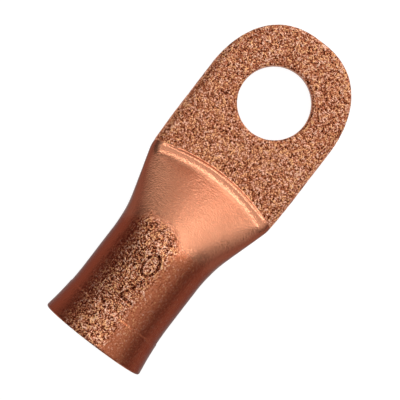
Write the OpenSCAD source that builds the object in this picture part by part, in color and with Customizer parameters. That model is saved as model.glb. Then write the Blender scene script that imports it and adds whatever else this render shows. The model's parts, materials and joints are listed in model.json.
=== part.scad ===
// Closed-end compression lug for heavy copper cable, pressed from one length of copper tube.
// The origin is on the stud hole's axis, in the plane of the tongue's underside.
// +X runs from the barrel's mouth to the tongue's tip, and +Z is up, off the tongue's face.

/* [Tube] */
// Bore that takes the stripped conductor
bore_d = 11.8; // [9:0.1:16]
// Wall of the tube
wall_t = 1.4; // [1:0.05:2.2]
// From the stud hole's centre to the barrel's mouth
hole_to_mouth = 41.8; // [38:0.1:60]

/* [Mouth] */
// How far the lip flares out over the barrel, on the radius
flare_out = 0.7; // [0.2:0.05:2]
// Length over which the barrel flares
flare_l = 7.8; // [5:0.1:9]
// Length of the band at the mouth that the closing die leaves standing
band_l = 4.9; // [3:0.1:7]
// How far that band stands over the rest of the barrel, on the radius
band_step = 0.06; // [0.03:0.01:0.2]
// Rounding of the lip's outer and inner edges
lip_r = 0.35; // [0.1:0.05:0.4]

/* [Neck] */
// From the stud hole's centre back to the shoulder's crest, on the centre line
hole_to_crest = 13.4; // [10:0.1:18]
// From the shoulder's crest back to the round barrel
neck_l = 14.2; // [10:0.1:16.5]
// How much further back the shoulder ends at the tongue's sides than at its middle
crest_bow = 2.1; // [0:0.1:3]
// Height of the shoulder's crest over the tongue's face
crest_h = 0.9; // [0.3:0.1:2]
// Length in plan of the rounded bank that drops from the crest to the tongue's face
bank_l = 1.05; // [0.3:0.05:1.6]

/* [Tongue] */
// Width of the tongue over its rounded sides
tongue_w = 21; // [17:0.1:26]
// How much narrower each side is at the shoulder than at the stud hole
corner_in = 0.15; // [0:0.05:0.5]
// How much thicker the tongue is than the tube's two walls pressed together
press_gap = 0.1; // [0:0.05:0.5]
// From the stud hole's centre to the tongue's tip
hole_to_tip = 10.9; // [9:0.1:16]
// Length over which the end is trimmed round
tip_l = 13.4; // [8:0.1:16]
// How square the round end is: 2 is a half ellipse, and more is squarer
tip_squareness = 2.4; // [2:0.1:4]
// Chamfer that tumbling leaves along the trimmed end
tip_chamfer = 0.3; // [0.1:0.05:0.5]

/* [Stud hole] */
// Diameter of the stud hole
stud_d = 10.5; // [6.5:0.1:13]
// Rounding that the punch leaves round the hole's upper edge
punch_roll = 0.5; // [0.2:0.05:1]

/* [Hidden] */

// Points round a section of the skin, of the void inside it, and of the round end
skin_points = 96;
void_points = 48;
tip_points = 48;
// Sections along the barrel, the neck, the bank, the tongue's widening, the void and the flare
barrel_steps = 3;
neck_steps = 22;
bank_steps = 6;
widening_steps = 3;
void_steps = 13;
flare_steps = 8;
// Steps in a small rounding
round_steps = 5;
// How far a cutting tool reaches past what it cuts
reach = 1;

bore_r = bore_d / 2;
tube_r = bore_r + wall_t;
tongue_t = 2 * wall_t + press_gap;
mouth_x = -hole_to_mouth;
crest_x = -hole_to_crest;
neck_x = crest_x - neck_l;
foot_x = crest_x + bank_l;
corner_x = foot_x - crest_bow;
corner_half_w = tongue_w / 2 - corner_in;

// Shares of a run over which the outline and the neck's top ease into and out of their slopes
outline_ease = [0.45, 0.1];
top_ease = [0.4, 0.22];
flare_ease = [0.8, 0];
// How much closer together the neck's sections stand towards the crest
crowding = 1.6;
// The neck's sections grow from round, 2, towards square
crest_squareness = 4;
// Share of the neck after which its sections take on the tongue's rounded-edge shape
press_from = 0.75;
// Share of the neck at which the void inside it has closed, and its height there
void_end = 0.96;
void_h = 0.3;
// How far the void stands inside the bore where it leaves it
void_ease = 0.03;
// How far the skin starts inside the mouth's band
lap = 0.5;
// Length behind the bank over which the tongue reaches its full width
widening_l = 6;
// How far the trimmed outline stands off the tongue's sides where it begins
trim_ease = 0.05;

// Goes from 0 to 1 with t, in a straight run between two parabolas that take the shares ease of t
function ramp(t, ease) =
    let (slope = 1 / (1 - (ease[0] + ease[1]) / 2))
    t <= 0 ? 0
    : t >= 1 ? 1
    : t < ease[0] ? slope * t * t / (2 * ease[0])
    : t <= 1 - ease[1] ? slope * (t - ease[0] / 2)
    : 1 - slope * (1 - t) * (1 - t) / (2 * ease[1]);
function mix(from, to, t) = from + (to - from) * t;
function smooth(t) = t * t * (3 - 2 * t);

// The flare's gain in radius at a place x along the barrel
function flare(x) = flare_out * ramp(1 - (x - mouth_x) / flare_l, flare_ease);

// How high a section stands over its middle line, from 1 on the centre line to 0 at its side, at the
// share s of its half width: for an oval, and for a flat bar whose round edge takes the share edge
function oval(s, square) = pow(max(0, 1 - pow(s, square)), 1 / square);
function bar(s, edge) = s <= 1 - edge ? 1 : sqrt(max(0, 1 - pow((s - 1 + edge) / edge, 2)));

// Half the width at a place along the side, from the round barrel to the shoulder's corner
function half_w_at(side) =
    mix(tube_r, corner_half_w, ramp((side - neck_x) / (corner_x - neck_x), outline_ease));

// The neck at t, which runs from 0 at the round barrel to 1 at the crest
function neck_at(t) = mix(neck_x, crest_x, t);
function neck_bow(t) = crest_bow * smooth(t);
function neck_square(t) = mix(2, crest_squareness, t * t);
function neck_press(t) = smooth(max(0, (t - press_from) / (1 - press_from)));
function neck_crown(t) = crest_h * neck_press(t);
function neck_height(t) = mix(2 * tube_r, tongue_t + crest_h, ramp(t, top_ease)) - neck_crown(t);
function neck_half_w(t) = half_w_at(neck_at(t) - neck_bow(t));

// A ring of points round one section. place is where it crosses the centre line, and middle is the height
// of its middle line. press takes it from an oval to the tongue's bar shape, crown raises its upper side,
// and bow draws its sides back towards the barrel.
function ring(count, place, half_w, height, middle, square, press = 0, crown = 0, bow = 0) = [
    for (k = [0:count - 1])
        let (
            turn = 360 * k / count,
            s = abs(sin(turn)),
            edge = min(1, height / (2 * half_w)),
            rise = height / 2 * mix(oval(s, square), bar(s, edge), press)
        )
        [
            place - bow * s * s,
            half_w * sin(turn),
            cos(turn) >= 0 ? middle + rise + crown * (1 - s * s * s) : middle - rise
        ]
];
function neck_ring(t) = ring(
    skin_points, neck_at(t), neck_half_w(t), neck_height(t), neck_height(t) / 2,
    neck_square(t), neck_press(t), neck_crown(t), neck_bow(t)
);
function tongue_ring(x, half_w, crown) = ring(
    skin_points, x, half_w, tongue_t, tongue_t / 2, crest_squareness, 1, crown, crest_bow
);

skin_start_x = mouth_x + band_l - lap;
flare_end_x = mouth_x + max(flare_l, band_l + lap);
barrel_rings = [
    for (k = [0:barrel_steps])
        let (x = mix(skin_start_x, flare_end_x, k / barrel_steps), r = tube_r + flare(x))
        ring(skin_points, x, r, 2 * r, tube_r, 2)
];
neck_rings = [
    for (k = [0:neck_steps])
        neck_ring(1 - pow(1 - k / neck_steps, crowding))
];
bank_rings = [
    for (k = [1:bank_steps])
        let (q = k / bank_steps, x = mix(crest_x, foot_x, q))
        tongue_ring(x, half_w_at(x - crest_bow), crest_h * (1 - q * q))
];
widening_rings = [
    for (k = [1:widening_steps])
        let (q = k / widening_steps)
        tongue_ring(foot_x + widening_l * q, corner_half_w + corner_in * q * (2 - q), 0)
];
tongue_end_ring = tongue_ring(hole_to_tip + crest_bow + reach, tongue_w / 2, 0);
void_rings = [
    for (k = [-1:void_steps])
        let (
            t = void_end * (1 - pow(1 - max(0, k) / void_steps, crowding)),
            inset = wall_t + void_ease
        )
        ring(void_points, neck_at(t) - (k < 0 ? lap : 0), neck_half_w(t) - inset,
             max(void_h, neck_height(t) - 2 * inset), neck_height(t) / 2, neck_square(t), bow = neck_bow(t))
];

// The mouth's outer profile and the bore's profile, as points [radius, place along the barrel]
band_profile = concat(
    [[0, mouth_x + band_l]],
    [
        for (k = [0:flare_steps])
            let (x = mix(mouth_x + band_l, mouth_x + lip_r, k / flare_steps))
            [tube_r + band_step + flare(x), x]
    ],
    [
        for (k = [1:round_steps])
            let (turn = 90 * k / round_steps)
            [
                tube_r + band_step + flare(mouth_x + lip_r) - lip_r * (1 - cos(turn)),
                mouth_x + lip_r * (1 - sin(turn))
            ]
    ],
    [[0, mouth_x]]
);
bore_profile = concat(
    [[0, mouth_x - reach], [bore_r + flare(mouth_x + lip_r) + lip_r, mouth_x - reach]],
    [
        for (k = [0:round_steps])
            let (turn = 90 * k / round_steps)
            [
                bore_r + flare(mouth_x + lip_r) + lip_r * (1 - sin(turn)),
                mouth_x + lip_r * (1 - cos(turn))
            ]
    ],
    [
        for (k = [1:flare_steps])
            let (x = mix(mouth_x + lip_r, mouth_x + flare_l, k / flare_steps))
            [bore_r + flare(x), x]
    ],
    [[bore_r, neck_x], [0, neck_x]]
);
stud_profile = concat(
    [[0, -reach], [stud_d / 2, -reach]],
    [
        for (k = [0:round_steps])
            let (turn = 90 * k / round_steps)
            [
                stud_d / 2 + punch_roll * (1 - cos(turn)),
                tongue_t - punch_roll * (1 - sin(turn))
            ]
    ],
    [[stud_d / 2 + punch_roll, tongue_t + reach], [0, tongue_t + reach]]
);

// A closed skin over rings that have the same number of points, with a flat face at each end
module skin(rings) {
    n = len(rings[0]);
    last = n * (len(rings) - 1);
    polyhedron(
        points = [for (r = rings) each r],
        faces = concat(
            [[for (k = [n - 1:-1:0]) k]],
            [[for (k = [0:n - 1]) last + k]],
            [
                for (i = [0:len(rings) - 2], k = [0:n - 1])
                    let (a = i * n + k, b = i * n + (k + 1) % n)
                    each [[a, b, a + n], [b, b + n, a + n]]
            ]
        )
    );
}

// The outline of the round end at a height z, drawn in by the distance d
function tip_ring(z, d) = [
    for (k = [-1:tip_points + 1])
        let (
            turn = 90 - 180 * max(0, min(tip_points, k)) / tip_points,
            behind = k < 0 || k > tip_points ? reach : 0
        )
        [
            hole_to_tip - tip_l - behind + (tip_l - d) * pow(abs(cos(turn)), 2 / tip_squareness),
            sign(turn) * (tongue_w / 2 + trim_ease - d) * pow(abs(sin(turn)), 2 / tip_squareness),
            z
        ]
];

// What the trimming die takes off round the tongue's end
module tip_scrap() {
    half = tongue_w / 2 + 2 * reach;
    difference() {
        translate([hole_to_tip - tip_l, -half, -reach / 2])
            cube([tip_l + crest_bow + 3 * reach, 2 * half, tongue_t + reach]);
        skin([
            tip_ring(-reach, tip_chamfer + reach),
            tip_ring(tip_chamfer, 0),
            tip_ring(tongue_t - tip_chamfer, 0),
            tip_ring(tongue_t + reach, tip_chamfer + reach)
        ]);
    }
}

// A solid of revolution about the barrel's axis
module round_barrel(profile) {
    translate([0, 0, tube_r])
        rotate([0, 90, 0])
            rotate_extrude($fn = skin_points)
                polygon(profile);
}

// Barrel, neck and tongue, up to the mouth's band
module pressed_tube() {
    skin(concat(barrel_rings, neck_rings, bank_rings, widening_rings, [tongue_end_ring]));
}

module lug() {
    color([0.65, 0.4, 0.3])
        difference() {
            union() {
                pressed_tube();
                round_barrel(band_profile);
            }
            round_barrel(bore_profile);
            skin(void_rings);
            tip_scrap();
            rotate_extrude($fn = skin_points)
                polygon(stud_profile);
        }
}

lug();
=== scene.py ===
"""A copper cable lug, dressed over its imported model.

The lug is one formed piece. Its surface follows one rule, a ring of points round each section from the
belled mouth to the tongue, so Geometry Nodes make it: the outer skin and the bore from the same rule, the
stud hole and the trimmed end as cuts, then the pits, the waves and the struck number.
"""

import json
import logging
import math
from dataclasses import dataclass, fields
from enum import Enum

import bpy
from mathutils import Matrix, Vector


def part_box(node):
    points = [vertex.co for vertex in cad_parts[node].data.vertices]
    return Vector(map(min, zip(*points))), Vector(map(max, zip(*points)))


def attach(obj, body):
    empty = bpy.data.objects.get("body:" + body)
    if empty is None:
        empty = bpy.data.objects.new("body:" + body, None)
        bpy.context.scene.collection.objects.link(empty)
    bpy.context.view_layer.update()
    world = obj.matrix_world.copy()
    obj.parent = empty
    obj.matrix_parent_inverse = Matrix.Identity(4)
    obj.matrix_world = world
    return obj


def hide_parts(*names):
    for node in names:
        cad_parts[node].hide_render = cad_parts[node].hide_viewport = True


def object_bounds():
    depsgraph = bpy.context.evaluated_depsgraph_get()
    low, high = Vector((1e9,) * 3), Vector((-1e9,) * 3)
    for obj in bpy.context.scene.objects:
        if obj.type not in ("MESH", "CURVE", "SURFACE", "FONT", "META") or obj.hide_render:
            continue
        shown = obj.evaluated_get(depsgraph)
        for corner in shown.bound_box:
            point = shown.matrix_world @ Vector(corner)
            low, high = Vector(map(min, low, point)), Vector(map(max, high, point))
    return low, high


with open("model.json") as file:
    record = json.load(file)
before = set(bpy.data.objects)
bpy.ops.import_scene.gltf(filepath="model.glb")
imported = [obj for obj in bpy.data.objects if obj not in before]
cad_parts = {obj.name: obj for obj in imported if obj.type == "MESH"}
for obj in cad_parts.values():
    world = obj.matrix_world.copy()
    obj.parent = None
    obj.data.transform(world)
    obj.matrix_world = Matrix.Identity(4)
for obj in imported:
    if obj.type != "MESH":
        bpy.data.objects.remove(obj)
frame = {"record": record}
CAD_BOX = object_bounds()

LOG = logging.getLogger("lug")
MM = 0.001
NODE = "lug"
BODY = "root"

# In millimetres: how far a cutting form stands past the metal, and how near two points are before they
# become one.
OVERRUN = 1.0
SEAM = 0.0005


# ---------------------------------------------------------------------------------------------------------
# Node trees, written as sums


class Value:
    """A socket of a node tree that can be added, multiplied and compared like a number."""

    def __init__(self, graph: "Graph", socket: bpy.types.NodeSocket) -> None:
        """Wrap a socket.

        Args:
            graph: the graph that the socket's node stands in.
            socket: an output socket.
        """
        self.graph = graph
        self.socket = socket

    def __add__(self, other: "Term") -> "Value":
        """The sum of the two."""
        return self.graph.math("ADD", self, other)

    def __radd__(self, other: "Term") -> "Value":
        """The sum of the two."""
        return self.graph.math("ADD", other, self)

    def __sub__(self, other: "Term") -> "Value":
        """The difference of the two."""
        return self.graph.math("SUBTRACT", self, other)

    def __rsub__(self, other: "Term") -> "Value":
        """The difference of the two."""
        return self.graph.math("SUBTRACT", other, self)

    def __mul__(self, other: "Term") -> "Value":
        """The product of the two."""
        return self.graph.math("MULTIPLY", self, other)

    def __rmul__(self, other: "Term") -> "Value":
        """The product of the two."""
        return self.graph.math("MULTIPLY", other, self)

    def __truediv__(self, other: "Term") -> "Value":
        """The quotient of the two."""
        return self.graph.math("DIVIDE", self, other)

    def __rtruediv__(self, other: "Term") -> "Value":
        """The quotient of the two."""
        return self.graph.math("DIVIDE", other, self)

    def __pow__(self, other: "Term") -> "Value":
        """This to the power of the other."""
        return self.graph.math("POWER", self, other)

    def __neg__(self) -> "Value":
        """The negative."""
        return self.graph.math("MULTIPLY", self, -1.0)

    def __abs__(self) -> "Value":
        """The size without its sign."""
        return self.graph.math("ABSOLUTE", self)


Term = Value | float


class Graph:
    """Adds nodes to one tree, joins them, and lays a few often used shapes over them."""

    def __init__(self, tree: bpy.types.NodeTree) -> None:
        """Take a tree to build in.

        Args:
            tree: a geometry or material node tree.
        """
        self.tree = tree

    def node(self, kind: str, **settings: object) -> bpy.types.Node:
        """Add a node.

        Args:
            kind: the node's type name.
            settings: properties of the node to set.

        Returns:
            The new node.
        """
        made = self.tree.nodes.new(kind)
        for name, value in settings.items():
            setattr(made, name, value)
        return made

    def put(self, socket: bpy.types.NodeSocket, term: object) -> None:
        """Join a term to an input socket, or write a plain value on it.

        Args:
            socket: the input socket.
            term: a Value, another socket, or a plain number, colour or vector.
        """
        if isinstance(term, Value):
            self.tree.links.new(term.socket, socket)
        elif isinstance(term, bpy.types.NodeSocket):
            self.tree.links.new(term, socket)
        else:
            socket.default_value = term

    def math(self, operation: str, *terms: Term) -> Value:
        """One math node.

        Args:
            operation: the math node's operation.
            terms: its inputs in order.

        Returns:
            The node's result.
        """
        made = self.node("ShaderNodeMath", operation=operation)
        for socket, term in zip(made.inputs, terms):
            self.put(socket, term)
        return Value(self, made.outputs[0])

    def least(self, a: Term, b: Term) -> Value:
        """The smaller of two terms."""
        return self.math("MINIMUM", a, b)

    def most(self, a: Term, b: Term) -> Value:
        """The larger of two terms."""
        return self.math("MAXIMUM", a, b)

    def share(self, a: Term) -> Value:
        """The term, held between 0 and 1."""
        return self.least(self.most(a, 0.0), 1.0)

    def mix(self, start: Term, end: Term, t: Term) -> Value:
        """Goes from start to end as t goes from 0 to 1.

        Args:
            start: the result where t is 0.
            end: the result where t is 1.
            t: the share of the way.

        Returns:
            The place between the two.
        """
        way = end - start
        return start + way * t if isinstance(way, Value) else t * way + start

    def less(self, a: Term, b: Term) -> Value:
        """1 where a is less than b, or else 0."""
        return self.math("LESS_THAN", a, b)

    def smooth(self, t: Term) -> Value:
        """Goes smoothly from 0 to 1 with t."""
        held = self.share(t)
        return held * held * (3.0 - 2.0 * held)

    def rise(self, x: Term, low: float, high: float) -> Value:
        """Goes smoothly from 0 to 1 as x goes from low to high.

        Args:
            x: the number that is watched.
            low: where the rise begins.
            high: where it ends.

        Returns:
            The height of the rise at x.
        """
        return self.smooth((x - low) / (high - low))

    def ramp(self, t: Term, ease_in: float, ease_out: float) -> Value:
        """Goes from 0 to 1 with t in a straight run between two parabolas.

        Args:
            t: the place along the run.
            ease_in: share of the run that the first parabola takes.
            ease_out: share of the run that the last parabola takes.

        Returns:
            The height at t.
        """
        slope = 1.0 / (1.0 - (ease_in + ease_out) / 2.0)
        held = self.share(t)
        straight = (held - ease_in / 2.0) * slope
        rising = held * held * (slope / (2.0 * ease_in))
        height = straight + (rising - straight) * self.less(held, ease_in)
        if ease_out:
            left = 1.0 - held
            falling = 1.0 - left * left * (slope / (2.0 * ease_out))
            height = height + (falling - height) * self.less(left, ease_out)
        return height

    def stops(self, index: Value, first: Term, runs: list[tuple[int, Term]]) -> Value:
        """A place that depends on a count, in straight runs.

        Args:
            index: the count, from 0.
            first: the place at 0.
            runs: for each run, its number of steps and the place that it ends at.

        Returns:
            The place at the count.
        """
        place, begun, last = first, 0, first
        for steps, end in runs:
            done = self.share((index - float(begun)) / float(steps))
            place = place + done * (end - last)
            begun, last = begun + steps, end
        return place

    def vector(self, x: Term, y: Term, z: Term) -> Value:
        """A vector from its three parts."""
        made = self.node("ShaderNodeCombineXYZ")
        for socket, term in zip(made.inputs, (x, y, z)):
            self.put(socket, term)
        return Value(self, made.outputs[0])

    def parts(self, vector: object) -> tuple[Value, Value, Value]:
        """The three parts of a vector."""
        made = self.node("ShaderNodeSeparateXYZ")
        self.put(made.inputs[0], vector)
        return tuple(Value(self, s) for s in made.outputs)

    def scaled(self, vector: object, by: Term) -> Value:
        """A vector times a number."""
        made = self.node("ShaderNodeVectorMath", operation="SCALE")
        self.put(made.inputs[0], vector)
        self.put(made.inputs["Scale"], by)
        return Value(self, made.outputs[0])

    def times(self, vector: object, by: tuple[float, float, float]) -> Value:
        """A vector times another, part by part."""
        made = self.node("ShaderNodeVectorMath", operation="MULTIPLY")
        self.put(made.inputs[0], vector)
        self.put(made.inputs[1], by)
        return Value(self, made.outputs[0])

    def noise(
        self, place: object, size: float, detail: float = 2.0, rough: float = 0.5, seed: float = 0.0
    ) -> Value:
        """Cloudy noise about 0.5.

        Args:
            place: where to read it, in millimetres.
            size: about the size of its lumps, in millimetres.
            detail: how many finer layers it has.
            rough: how strong those layers are.
            seed: a fixed seed; another number gives another pattern.

        Returns:
            The noise.
        """
        made = self.node("ShaderNodeTexNoise", noise_dimensions="4D")
        self.put(made.inputs["Vector"], place)
        self.put(made.inputs["W"], seed)
        self.put(made.inputs["Scale"], 1.0 / size)
        self.put(made.inputs["Detail"], detail)
        self.put(made.inputs["Roughness"], rough)
        return Value(self, made.outputs[0])


# ---------------------------------------------------------------------------------------------------------
# The lug's sizes


@dataclass(frozen=True)
class LugSizes:
    """The lug's sizes in millimetres, in the part's own frame.

    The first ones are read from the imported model, and the others belong to the forming dies.
    """

    mouth_x: float
    tip_x: float
    tongue_w: float
    tongue_t: float
    stud_r: float
    bore_r: float
    tube_r: float
    flare_out: float = 0.698
    flare_l: float = 7.8
    band_l: float = 4.9
    band_step: float = 0.06
    lip_r: float = 0.35
    crest_x: float = -12.95
    neck_l: float = 14.65
    crest_bow: float = 2.1
    crest_h: float = 0.5
    bank_l: float = 0.6
    corner_in: float = 0.15
    widening_l: float = 6.0
    tip_l: float = 13.4
    tip_squareness: float = 2.4
    tip_round: float = 0.4
    trim_ease: float = 0.05
    punch_roll: float = 0.5
    punch_break: float = 0.12
    void_end: float = 0.96
    void_h: float = 0.3

    @classmethod
    def from_frame(cls) -> "LugSizes":
        """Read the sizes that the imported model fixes.

        Returns:
            The sizes.
        """
        low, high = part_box(NODE)
        mounts = {m["name"]: m for m in frame["record"]["mounts"]}
        return cls(
            mouth_x=low.x / MM,
            tip_x=high.x / MM,
            tongue_w=(high.y - low.y) / MM,
            tongue_t=mounts["tongue_face"]["pos_m"][2] / MM,
            stud_r=mounts["stud_hole"]["dims"]["r_mm"],
            bore_r=mounts["cable_bore"]["dims"]["r_mm"],
            tube_r=mounts["cable_bore"]["pos_m"][2] / MM,
        )

    @property
    def neck_x(self) -> float:
        """Where the round barrel ends and the neck begins."""
        return self.crest_x - self.neck_l


# ---------------------------------------------------------------------------------------------------------
# The struck number


class Digit(Enum):
    """A plain digit as one stroke in a box that is 1 high, with its middle at the origin."""

    SEVEN = (((-0.32, 0.5), (0.32, 0.5), (0.2, 0.18), (0.02, -0.12), (-0.1, -0.5)), False)
    ZERO = (
        tuple((0.31 * math.cos(a * math.pi / 12), 0.5 * math.sin(a * math.pi / 12)) for a in range(24)),
        True,
    )

    @property
    def points(self) -> tuple[tuple[float, float], ...]:
        """The stroke's points."""
        return self.value[0]

    @property
    def closed(self) -> bool:
        """Whether the stroke ends where it began."""
        return self.value[1]


@dataclass(frozen=True)
class StruckNumber:
    """The conductor's size, struck on top of the barrel, one digit behind the other.

    Each digit's head points to the mouth. Sizes are in millimetres. The sides of the groove and of its burr
    are counted in half stroke widths from the stroke's middle, and past_neck is how far into the neck a
    stroke may lie.
    """

    digits: tuple[Digit, ...] = (Digit.SEVEN, Digit.ZERO)
    places: tuple[float, ...] = (-32.7, -28.5)
    heights: tuple[float, ...] = (3.1, 3.3)
    side: float = -0.15
    stroke_w: float = 0.38
    depth: float = 0.2
    burr: float = 0.05
    groove_side: tuple[float, float] = (0.35, 1.25)
    burr_inside: tuple[float, float] = (0.9, 1.35)
    burr_outside: tuple[float, float] = (1.4, 2.2)
    past_neck: float = 4.0

    def outline(self) -> bpy.types.Object:
        """The strokes as thin lines in the plane z = 0, in millimetres.

        Returns:
            A mesh object of edges.
        """
        points, edges = [], []
        for digit, place, height in zip(self.digits, self.places, self.heights):
            start, count = len(points), len(digit.points)
            points += [(place - y * height, self.side + x * height, 0.0) for x, y in digit.points]
            edges += [(start + k, start + k + 1) for k in range(count - 1)]
            if digit.closed:
                edges.append((start + count - 1, start))
        mesh = bpy.data.meshes.new("number_strokes")
        mesh.from_pydata(points, edges, [])
        strokes = bpy.data.objects.new("number_strokes", mesh)
        bpy.context.scene.collection.objects.link(strokes)
        return strokes


# ---------------------------------------------------------------------------------------------------------
# Where each finish lies, shared by the form and the finish


@dataclass(frozen=True)
class Regions:
    """How strongly each finish shows, from 0 to 1."""

    tongue: Value
    neck: Value
    barrel: Value
    pitted: Value
    drawn: Value


@dataclass(frozen=True)
class FinishEdges:
    """Where one finish gives way to the next, in millimetres. A pair says where that begins and ends.

    The tongue's grain begins at the foot of the bank, and the burnish past the start of the neck. To the far
    and the near side the burnish reaches back along the barrel. The pits lie on top of the barrel, between
    a near side and a far one. The ragged numbers are the size, the swing and the seed of these edges' waves.
    """

    tongue: tuple[float, float] = (-0.06, 0.1)
    burnish: tuple[float, float] = (3.9, 5.7)
    far_back: tuple[float, float] = (4.0, 6.5)
    far_reach: float = 2.5
    near_back: tuple[float, float] = (-0.5, 2.5)
    near_reach: float = 1.5
    pits_up: float = 2.0
    pits_near: tuple[float, float] = (-2.4, -0.6)
    pits_far: tuple[float, float] = (4.4, 6.2)
    ragged_size: float = 1.3
    ragged_swing: float = 1.5
    ragged_seed: float = 3.0


def find_regions(
    graph: Graph, place: object, sizes: LugSizes, edges: FinishEdges = FinishEdges()
) -> Regions:
    """Where the dies left the tongue's grain, the neck's burnish and the barrel's pits.

    Args:
        graph: the geometry or material graph to build in.
        place: the place on the lug, in millimetres.
        sizes: the lug's sizes.
        edges: where the finishes meet.

    Returns:
        The strength of each finish.
    """
    x, y, z = graph.parts(place)
    half = sizes.tongue_w / 2.0
    along = x + y * y * (sizes.crest_bow / (half * half))
    foot = sizes.crest_x + sizes.bank_l
    tongue = graph.rise(along, foot + edges.tongue[0], foot + edges.tongue[1])
    waves = graph.noise(place, edges.ragged_size, 3.0, 0.6, edges.ragged_seed)
    ragged = (waves - 0.5) * edges.ragged_swing
    far_back = graph.rise(y, *edges.far_back) * edges.far_reach
    back = far_back + graph.rise(-y, *edges.near_back) * edges.near_reach
    start, end = edges.burnish
    from_barrel = graph.rise(x + ragged + back, sizes.neck_x + start, sizes.neck_x + end)
    neck = from_barrel * (1.0 - tongue)
    barrel = (1.0 - from_barrel) * (1.0 - tongue)
    up = graph.rise(z, sizes.tube_r, sizes.tube_r + edges.pits_up)
    near_side = graph.rise(y + ragged, *edges.pits_near)
    far_side = 1.0 - graph.rise(y + ragged, *edges.pits_far)
    pitted = barrel * up * near_side * far_side
    return Regions(tongue, neck, barrel, pitted, barrel * (1.0 - near_side))


# ---------------------------------------------------------------------------------------------------------
# The form


@dataclass(frozen=True)
class MeshSteps:
    """How finely the form is divided.

    The counts are steps round the section and along the lug. The last four place the finest of them, in
    millimetres and degrees: beside the step of the band, and under the struck number.
    """

    side: int = 68
    middle: int = 40
    under: int = 36
    lip: int = 6
    band: int = 27
    plain: int = 14
    struck: int = 86
    neck: int = 84
    bank: int = 8
    tongue: int = 148
    step_half: float = 0.02
    struck_from: float = 7.3
    struck_past: float = 0.9
    struck_turn: float = 11.9


@dataclass(frozen=True)
class Forming:
    """How evenly the dies change the tube.

    The eases and flat_from are shares of the bell or of the neck. The powers are those of the section's oval,
    where the neck begins and where it is pressed.
    """

    bell_ease: float = 0.8
    top_ease: tuple[float, float] = (0.4, 0.1)
    outline_ease: tuple[float, float] = (0.45, 0.1)
    flat_from: float = 0.75
    round_power: float = 2.0
    pressed_power: float = 4.0


@dataclass(frozen=True)
class Wear:
    """The marks in the surface. Their sizes and depths are in millimetres.

    Pits and grains deepen between two strengths of their noise. All of it fades towards the underside and
    keeps clear of the mouth.
    """

    pit_size: float = 0.75
    grain_size: float = 0.42
    wave_size: float = 4.5
    pits: tuple[float, float] = (0.5, 0.72)
    grains: tuple[float, float] = (0.4, 0.7)
    pit_depth: float = 0.03
    grain_depth: float = 0.02
    barrel_grain: float = 0.012
    neck_wave: float = 0.05
    neck_grain: float = 0.003
    wave_depth: float = 0.02
    under_fade: tuple[float, float] = (-0.2, 0.6)
    mouth_clear: float = 0.1


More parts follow.
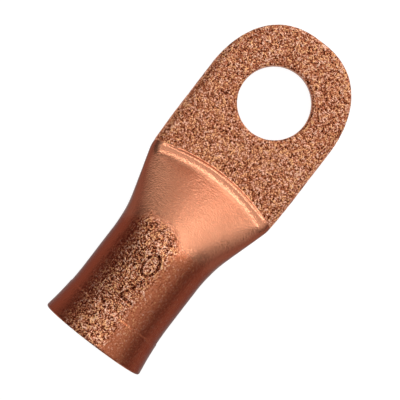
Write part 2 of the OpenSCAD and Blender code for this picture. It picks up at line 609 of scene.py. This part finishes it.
class LugForm:
    """The lug's shape, made by one Geometry Nodes tree."""

    def __init__(
        self, sizes: LugSizes, forming: Forming, wear: Wear, number: StruckNumber, steps: MeshSteps
    ) -> None:
        """Take what the form depends on.

        Args:
            sizes: the lug's sizes.
            forming: how evenly the tube was formed.
            wear: the marks in its surface.
            number: the number struck on the barrel.
            steps: how finely to divide the surface.
        """
        self.sizes = sizes
        self.forming = forming
        self.wear = wear
        self.number = number
        self.steps = steps
        self.tree = bpy.data.node_groups.new("lug_form", "GeometryNodeTree")
        self.graph = Graph(self.tree)
        self.named: dict[str, Value] = {}
        self.sockets: dict[str, str] = {}
        self._name_inputs()

    def _name_inputs(self) -> None:
        """Give the tree a named input for each size, for the strokes and for the metal."""
        face = self.tree.interface
        for f in fields(self.sizes):
            label = f.name.replace("_", " ").capitalize()
            made = face.new_socket(label, in_out="INPUT", socket_type="NodeSocketFloat")
            self.sockets[f.name] = made.identifier
        for name, kind in (("strokes", "NodeSocketObject"), ("metal", "NodeSocketMaterial")):
            made = face.new_socket(name.capitalize(), in_out="INPUT", socket_type=kind)
            self.sockets[name] = made.identifier
        face.new_socket("Geometry", in_out="OUTPUT", socket_type="NodeSocketGeometry")
        group = self.graph.node("NodeGroupInput")
        for name, identifier in self.sockets.items():
            socket = next(s for s in group.outputs if s.identifier == identifier)
            self.named[name] = Value(self.graph, socket)

    def _grid(self, stations: int, columns: int) -> tuple[object, Value, Value]:
        """A flat grid whose points count stations one way and columns the other.

        Args:
            stations: steps along.
            columns: steps across.

        Returns:
            The grid's geometry, and each point's station and column.
        """
        g = self.graph
        grid = g.node("GeometryNodeMeshGrid")
        g.put(grid.inputs["Size X"], float(stations))
        g.put(grid.inputs["Size Y"], float(columns))
        g.put(grid.inputs["Vertices X"], stations + 1)
        g.put(grid.inputs["Vertices Y"], columns + 1)
        x, y, _ = g.parts(g.node("GeometryNodeInputPosition").outputs[0])
        return grid.outputs["Mesh"], x + stations / 2.0, y + columns / 2.0

    def _placed(self, geometry: object, place: Value, flip: bool = False) -> object:
        """A grid moved to its places and closed along its seam.

        Args:
            geometry: the grid.
            place: where its points go.
            flip: whether its faces are turned over.

        Returns:
            The closed geometry.
        """
        g = self.graph
        move = g.node("GeometryNodeSetPosition")
        g.put(move.inputs["Geometry"], geometry)
        g.put(move.inputs["Position"], place)
        merge = g.node("GeometryNodeMergeByDistance")
        g.put(merge.inputs["Geometry"], move.outputs[0])
        g.put(merge.inputs["Distance"], SEAM)
        if not flip:
            return merge.outputs[0]
        turned = g.node("GeometryNodeFlipFaces")
        g.put(turned.inputs[0], merge.outputs[0])
        return turned.outputs[0]

    def _flare(self, x: Term) -> Value:
        """The bell's gain in radius.

        Args:
            x: the place along the barrel.

        Returns:
            The gain there.
        """
        n = self.named
        to_mouth = 1.0 - (x - n["mouth_x"]) / n["flare_l"]
        return n["flare_out"] * self.graph.ramp(to_mouth, self.forming.bell_ease, 0.0)

    def _section(self, x: Value, angle: Value, inset: Term, band: Term, shrink: Term) -> Value:
        """A point on the formed tube.

        Args:
            x: where the section crosses the centre line.
            angle: how far round the section, from -90 degrees on one side over the top.
            inset: how far the surface lies inside the tube's outer one.
            band: how far it stands over it.
            shrink: 1, or 0 where the section closes to a point.

        Returns:
            The point.
        """
        g, n, dies = self.graph, self.named, self.forming
        neck_x = n["crest_x"] - n["neck_l"]
        corner = n["tongue_w"] / 2.0 - n["corner_in"]
        t = g.share((x - neck_x) / n["neck_l"])
        press = g.rise(t, dies.flat_from, 1.0)
        bow = n["crest_bow"] * g.smooth(t)
        side = g.most(x, neck_x) - bow
        square = g.mix(dies.round_power, dies.pressed_power, t * t)
        corner_x = n["crest_x"] + n["bank_l"] - n["crest_bow"]
        outline = g.ramp((side - neck_x) / (corner_x - neck_x), *dies.outline_ease)
        widening = g.share((x - n["crest_x"] - n["bank_l"]) / n["widening_l"])
        half_w = g.mix(n["tube_r"], corner, outline) + n["corner_in"] * widening * (2.0 - widening)
        top = g.mix(n["tube_r"] * 2.0, n["tongue_t"] + n["crest_h"], g.ramp(t, *dies.top_ease))
        height = top - n["crest_h"] * press
        gain = self._flare(x) + band - inset
        bank = g.share((x - n["crest_x"]) / n["bank_l"])
        crown = n["crest_h"] * press * (1.0 - bank * bank) * shrink

        s = g.least(abs(g.math("SINE", angle)), 1.0)
        edge = g.least(height / (half_w * 2.0), 1.0)
        oval = g.most(1.0 - s**square, 0.0) ** (1.0 / square)
        into = g.most((s - 1.0 + edge) / edge, 0.0)
        bar = g.math("SQRT", g.most(1.0 - into * into, 0.0))
        inner = g.most(height / 2.0 + gain, n["void_h"] / 2.0) * shrink
        stands = inner * g.mix(oval, bar, press)
        upper = g.less(0.0, g.math("COSINE", angle))
        lift = g.mix(-stands, stands + crown * (1.0 - s * s * s), upper)
        return g.vector(
            x - bow * s * s * shrink,
            g.math("SINE", angle) * (half_w + gain) * shrink,
            height / 2.0 + lift,
        )

    def _skin(self) -> object:
        """The outer surface, from a closed face at the mouth to past the tongue's end.

        Returns:
            The closed skin.
        """
        g, n, c = self.graph, self.named, self.steps
        step_x = n["mouth_x"] + n["band_l"]
        end = n["tip_x"] + n["crest_bow"] + OVERRUN
        runs_x = [
            (1, n["mouth_x"]),
            (c.lip, n["mouth_x"] + n["lip_r"]),
            (c.band, step_x - c.step_half),
            (1, step_x + c.step_half),
            (c.plain, n["mouth_x"] + c.struck_from),
            (c.struck, n["crest_x"] - n["neck_l"] + c.struck_past),
            (c.neck, n["crest_x"]),
            (c.bank, n["crest_x"] + n["bank_l"]),
            (c.tongue, end),
            (1, end),
        ]
        stations = sum(steps for steps, _ in runs_x)
        columns = 2 * c.side + c.middle + c.under
        grid, station, column = self._grid(stations, columns)
        round_by = g.share((station - 1.0) / float(c.lip)) * (math.pi / 2.0)
        along = g.stops(station, n["mouth_x"], runs_x)
        rounded = n["mouth_x"] + n["lip_r"] * (1.0 - g.math("COSINE", round_by))
        on_lip = g.less(station, 1.0 + c.lip)
        x = g.mix(along, rounded, on_lip)
        band = n["band_step"] * g.less(x, step_x)
        lip_in = n["lip_r"] * (1.0 - g.math("SINE", round_by))
        degrees = g.stops(
            column,
            -90.0,
            [(c.side, -c.struck_turn), (c.middle, c.struck_turn), (c.side, 90.0), (c.under, 270.0)],
        )
        shrink = g.less(0.5, station) * g.less(station, stations - 0.5)
        place = self._section(x, degrees * (math.pi / 180.0), lip_in, band, shrink)
        return self._placed(grid, place)

    def _hollow(self) -> object:
        """What the bore takes out: the bell, the round bore and the void that closes in the neck.

        Returns:
            The closed cutting form.
        """
        g, n = self.graph, self.named
        lip, bell, bore, void, columns = 6, 12, 10, 26, 96
        first, start = n["mouth_x"] - OVERRUN, n["mouth_x"] + n["lip_r"]
        end = g.mix(n["crest_x"] - n["neck_l"], n["crest_x"], n["void_end"])
        runs = [
            (1, first),
            (1, n["mouth_x"]),
            (lip, start),
            (bell, n["mouth_x"] + n["flare_l"]),
            (bore, n["crest_x"] - n["neck_l"]),
            (void, end),
            (1, end),
        ]
        stations = sum(steps for steps, _ in runs)
        grid, station, column = self._grid(stations, columns)
        along = g.stops(station, first, runs)
        round_by = g.share((station - 2.0) / float(lip)) * (math.pi / 2.0)
        rounded = n["mouth_x"] + n["lip_r"] * (1.0 - g.math("COSINE", round_by))
        on_lip = g.less(1.5, station) * g.less(station, 2.0 + lip)
        x = g.mix(along, rounded, on_lip)
        wall = n["tube_r"] - n["bore_r"]
        lip_out = n["lip_r"] * (1.0 - g.math("SINE", round_by))
        shrink = g.less(0.5, station) * g.less(station, stations - 0.5)
        angle = column * (2.0 * math.pi / columns) - math.pi / 2.0
        reach = self._flare(n["mouth_x"]) - self._flare(g.most(x, n["mouth_x"]))
        outside = g.less(x, n["mouth_x"])
        place = self._section(x, angle, wall - lip_out - reach * outside, 0.0, shrink)
        return self._placed(grid, place)

    def _stud_cut(self) -> object:
        """What the punch takes out: the stud hole, with its rolled upper edge and broken lower one.

        Returns:
            The closed cutting form.
        """
        g, n = self.graph, self.named
        roll, columns, below = 8, 144, 0.02
        top, above = n["tongue_t"], n["tongue_t"] + OVERRUN
        grid, station, column = self._grid(7 + roll, columns)
        turn = g.share((station - 4.0) / float(roll)) * (math.pi / 2.0)
        z = g.stops(
            station,
            -OVERRUN,
            [
                (1, -OVERRUN),
                (1, -below),
                (1, n["punch_break"]),
                (1, top - n["punch_roll"]),
                (roll, top),
                (1, above),
                (1, above),
                (1, above),
            ],
        )
        rolled = top - n["punch_roll"] * (1.0 - g.math("SINE", turn))
        on_roll = g.less(3.5, station) * g.less(station, 4.5 + roll)
        gain = n["punch_roll"] * (1.0 - g.math("COSINE", turn))
        broken = n["punch_break"] * (1.0 - g.share(station - 2.0))
        shrink = g.less(0.5, station) * g.less(station, 6.5 + roll)
        radius = (n["stud_r"] + gain + broken) * shrink
        angle = column * (2.0 * math.pi / columns)
        place = g.vector(
            g.math("COSINE", angle) * radius, g.math("SINE", angle) * radius, g.mix(z, rolled, on_roll)
        )
        return self._placed(grid, place, flip=True)

    def _end_cut(self) -> object:
        """What the trimming die takes off round the tongue's end, with the tumbled edges left on it.

        Returns:
            The closed cutting form.
        """
        g, n = self.graph, self.named
        arc, columns, outside, beside = 6, 200, 6.0, 3.0
        loop = 2 * arc + 6
        grid, station, column = self._grid(loop, columns)
        top, edge = n["tongue_t"], n["tip_round"]
        z = g.stops(
            station,
            -OVERRUN,
            [
                (1, -OVERRUN),
                (1, 0.0),
                (arc, edge),
                (1, top - edge),
                (arc, top),
                (1, top + OVERRUN),
                (1, top + OVERRUN),
                (1, -OVERRUN),
            ],
        )
        lower = g.share((station - 2.0) / float(arc)) * (math.pi / 2.0)
        upper = g.share((station - 3.0 - arc) / float(arc)) * (math.pi / 2.0)
        on_lower = g.less(1.5, station) * g.less(station, 2.5 + arc)
        on_upper = g.less(2.5 + arc, station) * g.less(station, 3.5 + 2.0 * arc)
        z = g.mix(z, edge * (1.0 - g.math("COSINE", lower)), on_lower)
        z = g.mix(z, top - edge * (1.0 - g.math("SINE", upper)), on_upper)
        drawn = edge * (2.0 - g.math("SINE", lower) - g.math("COSINE", upper))
        out = (g.less(station, 0.5) + g.less(4.5 + 2.0 * arc, station)) * outside
        turn = (g.share((column - 1.0) / (columns - 2.0)) - 0.5) * math.pi
        cosine = g.most(g.math("COSINE", turn), 0.0)
        sine = g.math("SINE", turn)
        power = 2.0 / n["tip_squareness"]
        reach_x = (n["tip_l"] - drawn) * cosine**power + out * cosine
        half_w = n["tongue_w"] / 2.0 + n["trim_ease"] - drawn
        reach_y = g.math("SIGN", sine) * (half_w * abs(sine) ** power) + out * sine
        closed = g.less(0.5, column) * g.less(column, columns - 0.5)
        place = g.vector(
            n["tip_x"] - n["tip_l"] + reach_x,
            g.mix(g.math("SIGN", sine) * (n["tongue_w"] / 2.0 + beside), reach_y, closed),
            g.mix(top / 2.0, z, closed),
        )
        return self._placed(grid, place)

    def _struck(self, x: Value, y: Value, z: Value) -> tuple[Value, Value]:
        """How strongly a point lies in a struck stroke, and on the burr at its edge.

        Args:
            x: the point's place along the lug.
            y: its place across.
            z: its height.

        Returns:
            The strength of the groove and of the burr, from 0 to 1.
        """
        g, number = self.graph, self.number
        info = g.node("GeometryNodeObjectInfo")
        g.put(info.inputs["Object"], self.named["strokes"])
        near = g.node("GeometryNodeProximity", target_element="EDGES")
        g.put(near.inputs[0], info.outputs["Geometry"])
        g.put(near.inputs["Sample Position"], g.vector(x, y, 0.0))
        distance = Value(g, near.outputs["Distance"])
        on_top = g.less(self.sizes.tube_r, z) * g.less(x, self.sizes.neck_x + number.past_neck)
        across = distance / (number.stroke_w / 2.0)
        groove = 1.0 - g.rise(across, *number.groove_side)
        edge = g.rise(across, *number.burr_inside) * (1.0 - g.rise(across, *number.burr_outside))
        return groove * on_top, edge * on_top

    def _weather(self, geometry: object) -> object:
        """The finished surface: pits, waves and the struck number, all sunk into the plain form.

        Args:
            geometry: the plain form, in millimetres.

        Returns:
            The marked form.
        """
        g, wear = self.graph, self.wear
        place = g.node("GeometryNodeInputPosition").outputs[0]
        normal = g.node("GeometryNodeInputNormal").outputs[0]
        regions = find_regions(g, place, self.sizes)
        x, y, z = g.parts(place)
        seen = g.rise(z, *wear.under_fade) * g.less(self.sizes.mouth_x + wear.mouth_clear, x)
        coarse = g.noise(place, wear.pit_size, 2.0, 0.6, 1.0)
        fine = g.noise(place, wear.grain_size, 1.0, 0.5, 2.0)
        waves = g.noise(place, wear.wave_size, 1.0, 0.5, 4.0)
        pits = g.rise(coarse, *wear.pits)
        grain = g.rise(fine, *wear.grains)
        rough = g.share(regions.tongue + regions.pitted)
        depth = rough * (pits * wear.pit_depth + grain * wear.grain_depth)
        depth = depth + regions.barrel * grain * wear.barrel_grain
        depth = depth + regions.neck * (waves * wear.neck_wave + grain * wear.neck_grain)
        depth = depth + waves * wear.wave_depth
        sunk, raised = self._struck(x, y, z)
        kept = geometry
        # The normal's sideways part is kept here; it places the painted shade on the flanks.
        for name, value in (("sideways", g.parts(normal)[1]), ("struck", sunk), ("raised", raised)):
            store = g.node("GeometryNodeStoreNamedAttribute", data_type="FLOAT", domain="POINT")
            g.put(store.inputs["Geometry"], kept)
            g.put(store.inputs["Name"], name)
            g.put(store.inputs["Value"], value)
            kept = store.outputs[0]
        struck = raised * self.number.burr - sunk * self.number.depth
        move = g.node("GeometryNodeSetPosition")
        g.put(move.inputs["Geometry"], kept)
        g.put(move.inputs["Offset"], g.scaled(normal, struck - depth * seen * (1.0 - sunk)))
        return move.outputs[0]

    def build(self, metal: bpy.types.Material) -> bpy.types.Object:
        """Make the lug.

        Args:
            metal: its finish.

        Returns:
            A plain mesh object at the origin, in metres.
        """
        g = self.graph
        cut = g.node("GeometryNodeMeshBoolean", operation="DIFFERENCE", solver="MANIFOLD")
        g.put(cut.inputs["Mesh 1"], self._skin())
        for tool in (self._end_cut(), self._stud_cut(), self._hollow()):
            self.tree.links.new(tool, cut.inputs["Mesh 2"])
        shade = g.node("GeometryNodeSetShadeSmooth")
        g.put(shade.inputs["Geometry"], self._weather(cut.outputs[0]))
        to_metres = g.node("GeometryNodeTransform")
        g.put(to_metres.inputs["Geometry"], shade.outputs[0])
        g.put(to_metres.inputs["Scale"], (MM, MM, MM))
        real = g.node("GeometryNodeRealizeInstances")
        g.put(real.inputs[0], to_metres.outputs[0])
        dressed = g.node("GeometryNodeSetMaterial")
        g.put(dressed.inputs["Geometry"], real.outputs[0])
        g.put(dressed.inputs["Material"], self.named["metal"])
        out = g.node("NodeGroupOutput")
        g.put(out.inputs[0], dressed.outputs[0])

        strokes = self.number.outline()
        base = bpy.data.objects.new("copper_lug", bpy.data.meshes.new("lug_base"))
        bpy.context.scene.collection.objects.link(base)
        modifier = base.modifiers.new("form", "NODES")
        modifier.node_group = self.tree
        for f in fields(self.sizes):
            modifier[self.sockets[f.name]] = float(getattr(self.sizes, f.name))
        modifier[self.sockets["strokes"]] = strokes
        modifier[self.sockets["metal"]] = metal
        graph = bpy.context.evaluated_depsgraph_get()
        mesh = bpy.data.meshes.new_from_object(base.evaluated_get(graph))
        base.modifiers.clear()
        base.data = mesh
        mesh.name = "copper_lug"
        bpy.data.objects.remove(strokes)
        return base


# ---------------------------------------------------------------------------------------------------------
# The finish


@dataclass(frozen=True)
class CopperFinish:
    """Bare, aged copper: grainy on the tongue, burnished on the neck, pitted on the barrel.

    A place's tone lies about 0.5. Darker ones go over the grain's colour to the pit's, and lighter ones to
    the golden or the fleck's. Painted shade darkens the flanks, where the surface turns sideways, and the far
    side of the barrel's top. The struck grooves are darker, and a painted highlight lightens their burr.
    Sizes are in millimetres, and a pair says where a change begins and ends.
    """

    burnished: tuple[float, float, float] = (0.80, 0.345, 0.20)
    fleck: tuple[float, float, float] = (1.0, 0.60, 0.43)
    golden: tuple[float, float, float] = (1.0, 0.53, 0.25)
    grain: tuple[float, float, float] = (0.54, 0.16, 0.075)
    pit: tuple[float, float, float] = (0.06, 0.008, 0.002)
    # The dark brown of the painted shade on the flanks.
    tarnish: tuple[float, float, float] = (0.15, 0.024, 0.013)
    edge_tint: tuple[float, float, float] = (0.5, 0.5, 0.5)
    speckle_size: float = 0.27
    speck_size: float = 0.15
    speck_share: float = 0.5
    blotch_size: float = 1.4
    hue_size: float = 0.6
    streak_size: float = 0.25
    streak_stretch: tuple[float, float, float] = (0.12, 1.0, 1.0)
    tongue_contrast: float = 3.8
    pitted_contrast: float = 5.0
    drawn_contrast: float = 1.2
    neck_contrast: float = 0.9
    base_contrast: float = 0.35
    tongue_blotches: float = 0.5
    pitted_blotches: float = 0.9
    streaks: float = 0.6
    # Painted shade on the far side of the barrel's top: where it begins and ends, and how strong it is.
    far_from: tuple[float, float] = (1.0, 4.0)
    far_dulling: float = 0.22
    # How much darker the struck grooves are made.
    groove_dulling: float = 0.45
    # How much the painted highlight lightens the burr round the struck strokes.
    burr_gleam: float = 0.3
    hues: tuple[float, float] = (0.4, 0.6)
    dark_tones: tuple[float, float] = (-0.2, 0.5)
    light_tones: tuple[float, float] = (0.5, 1.1)
    neck_shine: float = 0.8
    neck_swing: float = 0.8
    # Painted shade on the flanks: where it begins and ends as the surface turns sideways, and how strong it
    # is.
    side_turn: tuple[float, float] = (0.3, 0.75)
    side_tarnish: float = 0.85
    smooth_roughness: float = 0.3
    grainy_roughness: float = 0.36
    neck_polish: float = 0.05
    smooth_relief: float = 0.4
    grainy_relief: float = 1.4
    streak_relief: float = 0.3
    relief_depth: float = 0.12
    seed: float = 11.0

    def material(self, sizes: LugSizes) -> bpy.types.Material:
        """Make the metal.

        Args:
            sizes: the lug's sizes, which place the finishes on it.

        Returns:
            The material.
        """
        metal = bpy.data.materials.new("aged_copper")
        metal.use_nodes = True
        metal.node_tree.nodes.clear()
        g = Graph(metal.node_tree)
        place = g.scaled(g.node("ShaderNodeTexCoord").outputs["Object"], 1.0 / MM)
        regions = find_regions(g, place, sizes)
        _, y, _ = g.parts(place)
        sideways = self._kept(g, "sideways")
        struck = self._kept(g, "struck")
        raised = self._kept(g, "raised")

        fine = g.noise(place, self.speckle_size, 2.0, 0.6, self.seed) - 0.5
        specks = g.noise(place, self.speck_size, 0.0, 0.5, self.seed + 1.0) - 0.5
        blotches = g.noise(place, self.blotch_size, 2.0, 0.6, self.seed + 2.0) - 0.5
        hue = g.noise(place, self.hue_size, 1.0, 0.5, self.seed + 4.0)
        stretched = g.times(place, self.streak_stretch)
        drawn = g.noise(stretched, self.streak_size, 2.0, 0.6, self.seed + 3.0) - 0.5

        speckle = fine + specks * self.speck_share
        contrast = regions.tongue * self.tongue_contrast + regions.pitted * self.pitted_contrast
        contrast = contrast + regions.drawn * self.drawn_contrast + regions.neck * self.neck_contrast
        contrast = contrast + self.base_contrast
        blotching = regions.tongue * self.tongue_blotches + regions.pitted * self.pitted_blotches
        tone = 0.5 + speckle * contrast + blotches * blotching
        tone = tone + drawn * regions.drawn * self.streaks
        # Painted shade: the pitted top grows darker towards the far side, where the barrel turns away.
        far = g.rise(y, *self.far_from) * regions.pitted
        # Painted highlight: the burr round each struck stroke is made lighter.
        tone = tone - far * self.far_dulling - struck * self.groove_dulling + raised * self.burr_gleam
        light = self._blend(g, self.golden, self.fleck, g.rise(hue, *self.hues))
        dark = self._blend(g, self.pit, self.grain, g.rise(tone, *self.dark_tones))
        grainy = self._blend(g, dark, light, g.rise(tone, *self.light_tones))
        shine = g.share(self.neck_shine + (tone - 0.5) * self.neck_swing)
        smooth = self._blend(g, self.grain, self.burnished, shine)
        colour = self._blend(g, grainy, smooth, regions.neck)
        # Painted shade: the flanks, where the surface turns sideways, are blended towards a dark brown.
        sides = g.rise(abs(sideways), *self.side_turn) * (1.0 - regions.tongue)
        colour = self._blend(g, colour, self.tarnish, sides * self.side_tarnish)

        rough = g.share(regions.tongue + regions.pitted)
        polish = g.mix(self.smooth_roughness, self.grainy_roughness, rough)
        polish = polish - regions.neck * self.neck_polish
        relief = g.mix(self.smooth_relief, self.grainy_relief, rough)
        height = speckle * relief + drawn * (regions.drawn * self.streak_relief)
        bump = g.node("ShaderNodeBump")
        g.put(bump.inputs["Strength"], 1.0)
        g.put(bump.inputs["Distance"], self.relief_depth * MM)
        g.put(bump.inputs["Height"], height)

        shader = g.node("ShaderNodeBsdfPrincipled")
        g.put(shader.inputs["Base Color"], colour)
        g.put(shader.inputs["Metallic"], 1.0)
        g.put(shader.inputs["Roughness"], polish)
        g.put(shader.inputs["Specular Tint"], (*self.edge_tint, 1.0))
        g.put(shader.inputs["Normal"], bump.outputs[0])
        out = g.node("ShaderNodeOutputMaterial")
        g.put(out.inputs["Surface"], shader.outputs[0])
        return metal

    @staticmethod
    def _kept(g: Graph, name: str) -> Value:
        """A number that the form keeps at each of its points.

        Args:
            g: the graph to build in.
            name: the number's name on the mesh.

        Returns:
            The number.
        """
        return Value(g, g.node("ShaderNodeAttribute", attribute_name=name).outputs["Fac"])

    @staticmethod
    def _blend(g: Graph, first: object, second: object, by: Term) -> Value:
        """Two colours mixed.

        Args:
            g: the graph to build in.
            first: the colour at 0.
            second: the colour at 1.
            by: the share of the second.

        Returns:
            The mixed colour.
        """
        made = g.node("ShaderNodeMix", data_type="RGBA")
        g.put(made.inputs["Factor"], by)
        for socket, colour in ((made.inputs[6], first), (made.inputs[7], second)):
            g.put(socket, (*colour, 1.0) if isinstance(colour, tuple) else colour)
        return Value(g, made.outputs[2])


# ---------------------------------------------------------------------------------------------------------
# The studio


@dataclass(frozen=True)
class Lamp:
    """A soft flat lamp that looks at the lug. Lengths are in metres and angles in degrees.

    Its glow is the brightness of its face, where 1 is as bright as white paper.
    """

    name: str
    around: float
    above: float
    away: float
    wide: float
    high: float
    glow: float

    def light(self, target: Vector) -> None:
        """Hang the lamp.

        Args:
            target: where it looks.
        """
        data = bpy.data.lights.new(self.name, "AREA")
        data.shape = "RECTANGLE"
        data.size = self.wide
        data.size_y = self.high
        data.energy = self.glow * math.pi * self.wide * self.high
        lamp = bpy.data.objects.new(self.name, data)
        bpy.context.scene.collection.objects.link(lamp)
        a, e = math.radians(self.around), math.radians(self.above)
        out = Vector((math.cos(a) * math.cos(e), math.sin(a) * math.cos(e), math.sin(e)))
        lamp.location = target + out * self.away
        lamp.rotation_euler = out.to_track_quat("Z", "Y").to_euler()


@dataclass(frozen=True)
class Studio:
    """The pale floor, the lamps and the camera.

    The floor's sizes are in metres, its gap and the camera's sizes in millimetres, and the roll in degrees.
    """

    lamps: tuple[Lamp, ...] = (
        Lamp("overhead", 0.0, 90.0, 0.6, 0.9, 1.2, 0.62),
        Lamp("card", -10.0, 28.0, 0.6, 0.6, 0.45, 0.95),
        Lamp("near_side", -90.0, 26.0, 0.6, 0.8, 0.3, 0.6),
        Lamp("strip", 0.0, 40.0, 0.6, 0.9, 0.04, 9.0),
        Lamp("key", -6.0, 2.0, 0.6, 0.06, 0.06, 14.0),
        Lamp("ridge", -22.0, 2.0, 0.6, 0.1, 0.05, 4.0),
    )
    room: float = 0.2
    floor_size: float = 4.0
    floor_gap: float = 0.01
    floor_glow: float = 0.92
    floor_colour: float = 0.25
    pool: float = 0.03
    pool_edge: float = 0.12
    far_glow: float = 0.3
    camera_x: float = -19.07
    target_x: float = -17.25
    height: float = 340.0
    field: float = 56.3
    roll: float = 52.48

    def build(self, sizes: LugSizes, target: Vector) -> None:
        """Make the studio.

        Args:
            sizes: the lug's sizes.
            target: the middle of the lug, in metres.
        """
        self._floor(sizes)
        self._room()
        for lamp in self.lamps:
            lamp.light(target)
        self._camera(sizes)
        bpy.context.scene.view_settings.view_transform = "Standard"

    def _floor(self, sizes: LugSizes) -> None:
        """Lay the floor under the bell's lowest point and the tongue's tip.

        Args:
            sizes: the lug's sizes.
        """
        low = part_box(NODE)[0]
        rest_x = (sizes.mouth_x + sizes.lip_r) * MM
        toe_x = (sizes.tip_x - sizes.tip_round) * MM
        tilt = math.atan2(-low.z, toe_x - rest_x)
        half = self.floor_size / 2.0
        mesh = bpy.data.meshes.new("floor")
        corners = [(-half, -half, 0), (half, -half, 0), (half, half, 0), (-half, half, 0)]
        mesh.from_pydata(corners, [], [(0, 1, 2, 3)])
        floor = bpy.data.objects.new("floor", mesh)
        bpy.context.scene.collection.objects.link(floor)
        middle = self.target_x * MM
        floor.location = (middle, 0.0, -self.floor_gap * MM - (toe_x - middle) * math.tan(tilt))
        floor.rotation_euler = (0.0, -tilt, 0.0)
        mesh.materials.append(self._floor_material())

    def _floor_material(self) -> bpy.types.Material:
        """White paper, whose own light keeps it white where only the eye or the metal looks at it.

        Returns:
            The material.
        """
        paper = bpy.data.materials.new("white_paper")
        paper.use_nodes = True
        paper.node_tree.nodes.clear()
        g = Graph(paper.node_tree)
        rays = g.node("ShaderNodeLightPath").outputs
        seen = g.most(Value(g, rays["Is Camera Ray"]), Value(g, rays["Is Glossy Ray"]))
        seen = g.most(seen, Value(g, rays["Is Transmission Ray"]))
        x, y, _ = g.parts(g.node("ShaderNodeTexCoord").outputs["Object"])
        away = g.math("SQRT", x * x + y * y)
        pool = g.mix(self.floor_glow, self.far_glow, g.rise(away, self.pool, self.pool_edge))
        plain = g.node("ShaderNodeBsdfDiffuse")
        g.put(plain.inputs["Color"], (self.floor_colour,) * 3 + (1.0,))
        glow = g.node("ShaderNodeEmission")
        g.put(glow.inputs["Strength"], seen * pool)
        both = g.node("ShaderNodeAddShader")
        g.put(both.inputs[0], plain.outputs[0])
        g.put(both.inputs[1], glow.outputs[0])
        out = g.node("ShaderNodeOutputMaterial")
        g.put(out.inputs["Surface"], both.outputs[0])
        return paper

    def _room(self) -> None:
        """The dim, even room round the lamps."""
        world = bpy.data.worlds.new("room")
        world.use_nodes = True
        world.node_tree.nodes["Background"].inputs["Color"].default_value = (self.room,) * 3 + (1.0,)
        bpy.context.scene.world = world

    def _camera(self, sizes: LugSizes) -> None:
        """Look straight down on the lug, with its tongue to the upper right.

        Args:
            sizes: the lug's sizes.
        """
        data = bpy.data.cameras.new("camera")
        data.angle = 2.0 * math.atan(self.field / 2.0 / self.height)
        data.clip_start, data.clip_end = 0.01, 10.0
        camera = bpy.data.objects.new("camera", data)
        bpy.context.scene.collection.objects.link(camera)
        eye = Vector((self.camera_x, 0.0, self.height + sizes.tongue_t)) * MM
        aim = Vector((self.target_x, 0.0, sizes.tongue_t)) * MM
        back = (eye - aim).normalized()
        roll = math.radians(self.roll)
        up = Vector((math.sin(roll), math.cos(roll), 0.0))
        right = up.cross(back).normalized()
        up = back.cross(right)
        turn = Matrix((right, up, back)).transposed().to_4x4()
        camera.matrix_world = Matrix.Translation(eye) @ turn
        bpy.context.scene.camera = camera


# ---------------------------------------------------------------------------------------------------------


def main() -> None:
    """Build the lug, dress it, and set the studio round it."""
    logging.basicConfig(level=logging.INFO, format="%(name)s: %(message)s")
    sizes = LugSizes.from_frame()
    metal = CopperFinish().material(sizes)
    lug = LugForm(sizes, Forming(), Wear(), StruckNumber(), MeshSteps()).build(metal)
    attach(lug, BODY)
    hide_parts(NODE)
    triangles = sum(len(p.vertices) - 2 for p in lug.data.polygons)
    LOG.info("%s: %d triangles, %s", lug.name, triangles, [round(v, 2) for v in lug.dimensions / MM])
    low, high = CAD_BOX
    Studio().build(sizes, (low + high) / 2.0)


if __name__ == "__main__":
    main()
